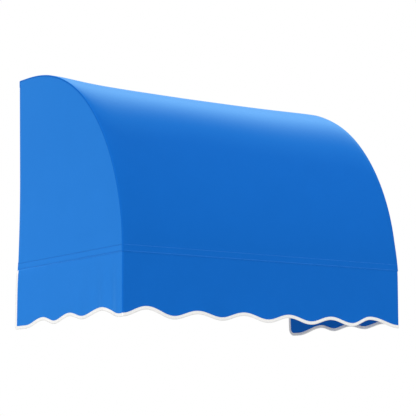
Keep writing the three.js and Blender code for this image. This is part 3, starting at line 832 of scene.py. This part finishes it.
swings = [front_fold(u, VALANCE_LOW) / MM for u in np.linspace(-FRONT_HALF, FRONT_HALF, 50)]
print("front valance swings from", round(min(swings), 1), "to", round(max(swings), 1), "mm")

# %% [markdown]
# Each valance is a grid between the straight edge inside the seam and the wavy edge. Its columns are flat
# measures along it, closer at the corners, and its rows are shares of the way down, closer in the seam,
# where the stitches shape the cloth.

# %% Valances
WRAP = 1 * MM
CORNER_STEPS = 8
FRONT_END = FRONT_HALF + CORNER_RADIUS * math.pi / 2 + WRAP
SEAM_SHARE = 0.14
VALANCE_ROWS = stations((0, SEAM_SHARE, 12), (SEAM_SHARE, 1, 14))


def make_valance(name, columns, edge, place, flip, finishes, replaced):
    """A sheet from the seam down to a wavy edge, and its flat area."""
    def hung(u, share):
        """Point and flat measures at a share of the way down."""
        z = VALANCE_TOP + (edge(u) - VALANCE_TOP) * share
        return place(u, z), (u, z)

    piece = grid_of(name, columns, VALANCE_ROWS, hung, flip=flip)
    area = flat_area(piece)
    thicken(piece, *finishes)
    finish_piece(piece, "canvas", replaced)
    return piece, area


front_columns = stations((-FRONT_END, -FRONT_HALF, CORNER_STEPS), (-FRONT_HALF, FRONT_HALF, 150),
                         (FRONT_HALF, FRONT_END, CORNER_STEPS))
front_valance, front_area = make_valance("front_valance_cloth", front_columns, front_edge, on_front, True,
                                         [canvas], "front_valance")
end_columns = {}
for word, corner in REAR_CORNER.items():
    turning = VALANCE_REAR - corner
    end_columns[word] = stations((END_FRONT, turning, 78), (turning, VALANCE_REAR, 8))
# The end valances' outer faces are in the canvas painted lighter, as painted light.
end_valances = {word: make_valance(f"end_valance_cloth_{word}", end_columns[word], partial(end_edge, word),
                                   partial(on_end_valance, word), word == "right",
                                   [end_canvas_painted_lighter, canvas], f"side_valance_{word}")
                for word in SIDES}
print("valance areas", round(front_area, 4), [round(area, 4) for _, area in end_valances.values()])

# %% [markdown]
# The white binding is a tape folded over the edge. It laps 9 mm up each face, and its fold stands out a
# little past the cloth, so about 10 mm of white show. Its cross-section is a narrow U, thicker at the
# fold, given as pairs of distance in from the edge and lift from the cloth. It is swept along the edge,
# square to it.

# %% Section of the binding
LAP = 9 * MM
TAPE = 0.5 * MM
TAPE_FACE = TAPE + 0.1 * MM
TAPE_ROLL = 1.5 * MM
FOLD_FROM, FOLD_PAST = 2.2 * MM, 1.35 * MM
FOLD_STEPS = 10
BULK_FROM, BULK_OVER = 7 * MM, 4.5 * MM
FACE_POINTS = (LAP, 8.4 * MM, 7 * MM, 5.6 * MM, 4.2 * MM, 3.1 * MM)


def tape_section():
    """(in, lift) round the fold, from the outer face's edge to the inner face's edge."""
    fold = [(FOLD_FROM - (FOLD_FROM + FOLD_PAST) * math.cos(a), TAPE_ROLL * math.sin(a) - CLOTH / 2)
            for a in np.linspace(math.pi / 2, -math.pi / 2, FOLD_STEPS + 1)]
    bulk = TAPE_ROLL - CLOTH / 2 - TAPE_FACE
    outer = [(into, TAPE_FACE + bulk * smooth((BULK_FROM - into) / BULK_OVER)) for into in FACE_POINTS]
    inner = [(into, -CLOTH - lift) for into, lift in reversed(outer)]
    return outer + fold + inner


def edge_frames(points):
    """For points along an edge: the points, the distance so far and the direction into the cloth."""
    path = np.array(points)
    travel = np.concatenate([[0], np.cumsum(np.hypot(*np.diff(path, axis=0).T))])
    way = np.gradient(path, travel, axis=0)
    way /= np.hypot(*way.T)[:, None]
    return path, travel, np.stack([-way[:, 1], way[:, 0]], axis=1)


def make_binding(name, points, place, flip, replaced):
    """The tape swept along an edge that is given in flat measures."""
    path, travel, into = edge_frames(points)
    section = tape_section()
    reach = np.concatenate([[0], np.cumsum([math.dist(a, b) for a, b in zip(section, section[1:])])])

    def put(i, j):
        """Point and flat measures for a point of the edge and one of the section."""
        inset, lift = section[round(j)]
        u, z = path[round(i)] + inset * into[round(i)]
        return place(float(u), float(z), lift), (travel[round(i)], reach[round(j)])

    piece = grid_of(name, list(range(len(path))), list(range(len(section))), put, flip=flip)
    thicken(piece, tape, thickness=TAPE)
    return finish_piece(piece, "binding_tape", replaced)


print("tape section has", len(tape_section()), "points")

# %% [markdown]
# The front tape follows the wavy edge from corner to corner. On the end valances the tape runs on round
# the rear corner and up the rear edge to the seam, as the photograph shows on the left. Each tape lies on
# its valance. A bevelled curve could make it too, but this sweep asks the valance's own place function
# for every point, so the tape follows each fold of the cloth.

# %% Bindings
TAPE_STOP = COVER_LOW - 1 * MM
front_points = [(u, front_edge(u)) for u in front_columns]
front_binding = make_binding("front_binding_tape", front_points, on_front, True, "front_binding")


def end_points(word):
    """Along the wavy edge to the rounded corner, round it, and up the rear edge to the seam."""
    radius = REAR_CORNER[word]
    low = [(y, end_edge(word, y)) for y in end_columns[word] if y <= VALANCE_REAR - radius]
    height = low[-1][1]
    corner = [(VALANCE_REAR - radius * (1 - math.sin(a)), height + radius * (1 - math.cos(a)))
              for a in np.linspace(0, math.pi / 2, 9)[1:]]
    upright = [(VALANCE_REAR, float(z)) for z in np.linspace(height + radius, TAPE_STOP, 20)[1:]]
    return low + corner + upright


for word in SIDES:
    make_binding(
        f"end_binding_tape_{word}", end_points(word), partial(on_end_valance, word), word == "right",
        f"side_binding_{word}")
    valance, area = end_valances[word]

# %% [markdown]
# The flaps are strips sewn into the seam and folded under the front rail and the arms, where small screws
# hold them. They keep the cover down on its frame. Each is a grid that drops from the seam, turns inwards
# over a 2.5 mm radius and runs along the underside of its tube. The arms' flaps lie a little further in
# than their solids, because the valances beside them are pressed in by the seam.

# %% Flaps
FLAP_TURN = 2.5 * MM
FLAP_UNDER = 22 * MM
FLAP_SLACK = 0.6 * MM


def make_flap(name, length, place, flip, replaced):
    """place gives a point at a distance along the strip, a distance inwards and a height."""
    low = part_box(replaced)[0].z + SOLID_CLOTH - CLOTH
    drop = VALANCE_TOP - low - FLAP_TURN
    turned = drop + FLAP_TURN * math.pi / 2
    total = turned + FLAP_UNDER

    def put(u, d):
        """Point and flat measures at a distance along the strip and one from the seam."""
        turn = min(max((d - drop) / FLAP_TURN, 0), math.pi / 2)
        inward = FLAP_TURN * (1 - math.cos(turn)) + max(d - turned, 0)
        z = VALANCE_TOP - min(d, drop) - FLAP_TURN * math.sin(turn)
        return place(u, inward, z), (u, d)

    rows = stations((0, drop, 3), (drop, turned, 5), (turned, total, 4))
    piece = grid_of(name, stations((*length, 40)), rows, put, flip=flip)
    thicken(piece, canvas)
    finish_piece(piece, "canvas", replaced)
    print(name, round(length[1] - length[0], 3), "x", round(total, 3), "m")


flap_low, flap_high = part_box("front_flap")
make_flap("front_flap_cloth", (flap_low.x, flap_high.x),
          lambda u, inward, z: Vector((u, flap_low.y + inward, z)), True, "front_flap")
for word, sign in SIDES.items():
    side_low, side_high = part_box(f"arm_flap_{word}")
    outer = max(abs(side_low.x), abs(side_high.x)) - FLAP_SLACK
    make_flap(f"arm_flap_cloth_{word}", (side_low.y, side_high.y),
              lambda u, inward, z: Vector((sign * (outer - inward), u, z)), word == "right",
              f"arm_flap_{word}")

# %% [markdown]
# Small wafer-head screws hold the hems and flaps on the tubes. Each has a wide, low head with a cross
# recess, a washer that spreads the load on the cloth, and a short shank. One is modelled at the origin
# with its head towards Z, from a bevelled disc whose cross is cut out with two bars.

# %% One screw
HEAD_RADIUS, HEAD_HEIGHT, HEAD_BEVEL = 4.4 * MM, 1.4 * MM, 0.9 * MM
WASHER_RADIUS, WASHER_THICK, WASHER_BEVEL = 6 * MM, 0.7 * MM, 0.2 * MM
SHANK_RADIUS, SHANK_LENGTH = 1.6 * MM, 7 * MM
CROSS_LONG, CROSS_WIDE, CROSS_TALL = 4.2 * MM, 0.9 * MM, 1.8 * MM
SCREW_SMOOTH = math.radians(35)
SAME_HEIGHT = 1e-6


def disc(radius, low, high, bevel=0.0, sides=32):
    """An upright cylinder between two heights, its top rim rounded if a bevel is given."""
    bpy.ops.object.select_all(action="DESELECT")
    bpy.ops.mesh.primitive_cylinder_add(vertices=sides, radius=radius, depth=high - low,
                                        location=(0, 0, (low + high) / 2))
    piece = bpy.context.object
    bpy.ops.object.transform_apply(location=True, rotation=True, scale=True)
    if bevel:
        at_top = [abs(vertex.co.z - high) < SAME_HEIGHT for vertex in piece.data.vertices]
        rim = [all(at_top[i] for i in edge.vertices) for edge in piece.data.edges]
        edit_chosen(piece, "EDGE", rim, lambda: bpy.ops.mesh.bevel(offset=bevel, segments=4, profile=0.5))
    return piece


def model_screw():
    """Head, washer and shank as one mesh, the washer's underside at the origin."""
    head = disc(HEAD_RADIUS, WASHER_THICK, WASHER_THICK + HEAD_HEIGHT, bevel=HEAD_BEVEL)
    for size in ((CROSS_LONG, CROSS_WIDE), (CROSS_WIDE, CROSS_LONG)):
        bpy.ops.object.select_all(action="DESELECT")
        bpy.ops.mesh.primitive_cube_add(size=1, location=(0, 0, WASHER_THICK + HEAD_HEIGHT))
        bar = bpy.context.object
        bar.scale = (*size, CROSS_TALL)
        bpy.ops.object.transform_apply(location=True, rotation=True, scale=True)
        apply_modifier(head, "BOOLEAN", object=bar, operation="DIFFERENCE", solver="EXACT")
        bpy.data.objects.remove(bar)
    washer = disc(WASHER_RADIUS, 0.0, WASHER_THICK, bevel=WASHER_BEVEL)
    shank = disc(SHANK_RADIUS, -SHANK_LENGTH, WASHER_THICK, sides=16)
    only(head)
    washer.select_set(True)
    shank.select_set(True)
    bpy.ops.object.join()
    bpy.ops.object.shade_smooth_by_angle(angle=SCREW_SMOOTH)
    return head


pattern_screw = model_screw()
print("one screw has", len(pattern_screw.data.polygons), "faces")

# %% [markdown]
# The screw is copied to every place, each copy with its own mesh. Six hold the hem behind the head rail,
# clear of the brackets, three hold the hem of each end behind its upright, and the others hold the three
# flaps from below.

# %% Screws in place
HEAD_RAIL_X = (-0.42, -0.24, -0.08, 0.08, 0.24, 0.42)
UPRIGHT_Z = (-0.42, -0.22, -0.03)
FRONT_RAIL_X = (-0.44, -0.22, 0.0, 0.22, 0.44)
ARM_Y = (-0.45, -0.28, -0.11)
SCREW_RAISE = 5 * MM
OUT_BACK, DOWN = (0, 1, 0), (0, 0, -1)


def place_screw(name, at, towards):
    """A copy of the screw, with its own mesh and its head towards a direction."""
    mesh = pattern_screw.data.copy()
    turn = Vector(towards).to_track_quat("Z", "Y").to_matrix().to_4x4()
    mesh.transform(Matrix.Translation(at) @ turn)
    mesh.materials.append(zinc)
    piece = bpy.data.objects.new(name, mesh)
    bpy.context.scene.collection.objects.link(piece)
    finish_piece(piece, "zinc_fastener")


hem_z = (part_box("head_rail")[0].z + TOP - HEM_DROP) / 2 + SCREW_RAISE
for i, x in enumerate(HEAD_RAIL_X, 1):
    place_screw(f"hem_screw_head_{i}", (x, REAR, hem_z), OUT_BACK)
rail_low, rail_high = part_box("front_rail")
flap_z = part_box("front_flap")[0].z + SOLID_CLOTH - 2 * CLOTH
for i, x in enumerate(FRONT_RAIL_X, 1):
    place_screw(f"flap_screw_front_{i}", (x, (rail_low.y + rail_high.y) / 2, flap_z), DOWN)
for word in SIDES:
    tube_low, tube_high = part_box(f"upright_{word}")
    x = (tube_low.x + tube_high.x) / 2
    for i, z in enumerate(UPRIGHT_Z, 1):
        place_screw(f"hem_screw_{word}_{i}", (x, REAR, z), OUT_BACK)
    for i, y in enumerate(ARM_Y, 1):
        place_screw(f"flap_screw_{word}_{i}", (x, y, flap_z), DOWN)
bpy.data.objects.remove(pattern_screw)
print("screws:", len(HEAD_RAIL_X) + len(FRONT_RAIL_X) + 2 * (len(UPRIGHT_Z) + len(ARM_Y)))

# %% [markdown]
# A lockstitch shows as a line of small grains of thread, each one lying on the cloth with both ends
# pulled into it. One grain is modelled from a coarse sphere, stretched and flattened. Real stitches are
# about 3.5 mm long and 0.4 mm thick. The thickness is drawn over twice as large, so that the rows show.

# %% One stitch
STITCH_LENGTH = 3.4 * MM
STITCH_THICK = 1.1 * MM
STITCH_FLAT = 0.8
END_PULL = 0.25


def model_stitch():
    """Vertices and faces of one stitch along X, with its upper side towards Z."""
    bpy.ops.object.select_all(action="DESELECT")
    bpy.ops.mesh.primitive_uv_sphere_add(segments=6, ring_count=4, radius=0.5,
                                         rotation=(0, math.pi / 2, 0))
    piece = bpy.context.object
    bpy.ops.object.transform_apply(location=False, rotation=True, scale=False)
    bpy.ops.object.mode_set(mode="EDIT")
    bpy.ops.mesh.select_all(action="SELECT")
    bpy.ops.transform.resize(value=(STITCH_LENGTH, STITCH_THICK, STITCH_THICK * STITCH_FLAT))
    bpy.ops.object.mode_set(mode="OBJECT")
    points = np.array([v.co[:] for v in piece.data.vertices])
    points[:, 2] -= END_PULL * STITCH_THICK * (2 * points[:, 0] / STITCH_LENGTH) ** 2
    faces = [tuple(f.vertices) for f in piece.data.polygons]
    bpy.data.objects.remove(piece)
    return points, faces


stitch_points, stitch_faces = model_stitch()
print("one stitch has", len(stitch_faces), "faces")

# %% [markdown]
# The stitch is then copied along every seam as one mesh, because thousands of single objects would be
# slow. A seam is a line of flat measures, and the place function of its cloth says where each stitch
# lies, which way the line runs there and which way is out.

# %% Sewing
STITCH_PITCH = 4.0 * MM
PROBE = 1 * MM


def spaced(points, pitch):
    """Points one pitch apart along a line of flat measures."""
    path, travel, _ = edge_frames(points)
    count = int(travel[-1] / pitch)
    at = (np.arange(count) + 0.5) * travel[-1] / count
    return [tuple(float(np.interp(t, travel, path[:, i])) for i in (0, 1)) for t in at]


def sew(name, lines, place, material, slot):
    """One mesh of stitches along lines of flat measures, each line with the lift and side of its face."""
    vertices, faces = [], []
    for line, lift, side in lines:
        spots = spaced(line, STITCH_PITCH)
        for i, (u, z) in enumerate(spots):
            here = place(u, z, lift)
            near = place(*spots[i - 1 if i else 1], lift)
            along = ((here - near) * (1 if i else -1)).normalized()
            up = (place(u, z, lift + side * PROBE) - here).normalized()
            turn = np.array([along, up.cross(along), up])
            start = len(vertices)
            vertices.extend(map(tuple, stitch_points @ turn + np.array(here)))
            faces.extend(tuple(start + corner for corner in face) for face in stitch_faces)
    mesh = bpy.data.meshes.new(name)
    mesh.from_pydata(vertices, [], faces)
    piece = bpy.data.objects.new(name, mesh)
    bpy.context.scene.collection.objects.link(piece)
    mesh.materials.append(material)
    only(piece)
    bpy.ops.object.shade_smooth()
    finish_piece(piece, slot)
    print(name, len(faces) // len(stitch_faces), "stitches")


print("a metre of seam has", int(1 / STITCH_PITCH), "stitches")

# %% [markdown]
# Two rows cross the front and each end, one above the other. One more row holds the hem on top, and one
# runs up each end beside the fold at the wall.

# %% Rows on the cover
FRONT_STOP = HALF_WIDTH - 4 * MM
HEM_ROW = HEM_DROP + 6 * MM
END_START, END_STOP = -DEPTH + 5 * MM, REAR - END_FOLD - 1 * MM
REAR_ROW_Y = REAR - END_FOLD - 4 * MM
REAR_ROW_Z = (COVER_LOW + 2 * MM, TOP - 12 * MM)


def level(first, last, z):
    """Points along a level row."""
    return [(float(u), z) for u in np.linspace(first, last, 40)]


row_along = [PROFILE_LENGTH - (row - COVER_LOW) for row in SEAM_ROWS]
sew("seam_stitches_front", [(level(-FRONT_STOP, FRONT_STOP, along), 0.0, 1) for along in row_along],
    on_curve, thread_painted_lighter, "canvas")
sew("hem_stitches_top", [(level(-FRONT_STOP, FRONT_STOP, HEM_ROW), 0.0, 1)],
    on_curve, thread_painted_lighter, "canvas")
for word in SIDES:
    rows = [(level(END_START, END_STOP, row), 0.0, 1) for row in SEAM_ROWS]
    rear = [(REAR_ROW_Y, float(z)) for z in np.linspace(*REAR_ROW_Z, 60)]
    # The ends' rows use the thread painted darker, as painted shade.
    sew(f"seam_stitches_{word}", rows + [(rear, 0.0, 1)], partial(on_end, word), thread_painted_shade, "canvas")

# %% [markdown]
# One row of white stitches holds each tape near its inner edge. It shows on both faces of the valance, so
# it is laid twice, with its upper side outwards and inwards.

# %% Rows in the tape
TAPE_ROW = LAP - 1.8 * MM
BOTH_FACES = ((TAPE_FACE, 1), (-CLOTH - TAPE_FACE, -1))


def beside(points):
    """The line that runs beside an edge, near the inner edge of its tape."""
    path, _, into = edge_frames(points)
    return [(float(u), float(z)) for u, z in path + TAPE_ROW * into]


straight_points = front_points[CORNER_STEPS + 1:-CORNER_STEPS - 1]
sew("binding_stitches_front", [(beside(straight_points), *face) for face in BOTH_FACES],
    on_front, white_thread, "binding_tape")
for word in SIDES:
    sew(f"binding_stitches_{word}", [(beside(end_points(word)), *face) for face in BOTH_FACES],
        partial(on_end_valance, word), white_thread, "binding_tape")

# %% [markdown]
# The metal pieces stay as they are and only get their finish. The record says which slot each solid takes
# its finish from, and the cloth solids, which the sheets above replace, are passed over.

# %% Dress the metal
FINISH_BY_SLOT = {"galvanised_tube": galvanised, "cast_connector": cast, "bracket_steel": pressed,
                  "zinc_fastener": zinc}
metal = [row for row in frame["record"]["subparts"] if row["material_slot"] in FINISH_BY_SLOT]
for row in metal:
    mesh = nodes[row["node"]].data
    mesh.materials.clear()
    mesh.materials.append(FINISH_BY_SLOT[row["material_slot"]])
print("metal pieces dressed:", len(metal))

# %% [markdown]
# The stage is a plain pale floor, 2.2 m below, as far down as the ground is below a window's head. The
# world is white where the camera, gloss or glass looks at it, and a softer white as a light.

# %% Floor and world
FLOOR_Z = -2.2
FLOOR_SIZE = 40
WORLD_LIGHT = 0.35
WHITE = (1, 1, 1, 1)
bpy.ops.object.select_all(action="DESELECT")
bpy.ops.mesh.primitive_plane_add(size=FLOOR_SIZE, location=(0, 0, FLOOR_Z))
floor = bpy.context.object
floor.name = "floor"
floor_paint, _, _ = new_material("pale_floor", Base_Color=linear("#dedede"), Roughness=0.9)
floor.data.materials.append(floor_paint)

world = bpy.data.worlds.new("studio")
bpy.context.scene.world = world
world.use_nodes = True
sky = world.node_tree
sky.nodes.clear()
path = add(sky, "ShaderNodeLightPath").outputs
seen = path["Is Camera Ray"]
for ray in ("Is Glossy Ray", "Is Transmission Ray"):
    seen = add(sky, "ShaderNodeMath", {"operation": "MAXIMUM"}, {0: seen, 1: path[ray]}).outputs[0]
light = add(sky, "ShaderNodeBackground", inputs={"Color": WHITE, "Strength": WORLD_LIGHT}).outputs[0]
white = add(sky, "ShaderNodeBackground", inputs={"Color": WHITE, "Strength": 1.0}).outputs[0]
both = add(sky, "ShaderNodeMixShader", inputs={0: seen, 1: light, 2: white}).outputs[0]
add(sky, "ShaderNodeOutputWorld", inputs={"Surface": both})
print("floor at", FLOOR_Z, "m, world light", WORLD_LIGHT)

# %% [markdown]
# Two wide suns give soft studio light: the key from the front left, a little above, and a weaker one from
# overhead. Each is set by how much it adds to a white face that is turned to it, so that a colour renders
# about as it is written. Area lamps would do as well for one view, but suns light the awning alike from
# all sides.

# %% Lamps
def soft_sun(name, towards, level_at_face, width):
    """A sun as wide as an angle in degrees that shines from a direction."""
    bpy.ops.object.light_add(type="SUN")
    lamp = bpy.context.object
    lamp.name = name
    lamp.rotation_mode = "QUATERNION"
    lamp.rotation_quaternion = Vector(towards).to_track_quat("Z", "Y")
    lamp.data.energy = math.pi * level_at_face
    lamp.data.angle = math.radians(width)
    print(name, round(lamp.data.energy, 2), "W per square metre")


soft_sun("key", towards=(-0.66, -0.57, 0.49), level_at_face=0.68, width=50)
soft_sun("overhead", towards=(0.1, 0.2, 1.0), level_at_face=0.3, width=80)
bpy.context.scene.view_settings.view_transform = "Standard"
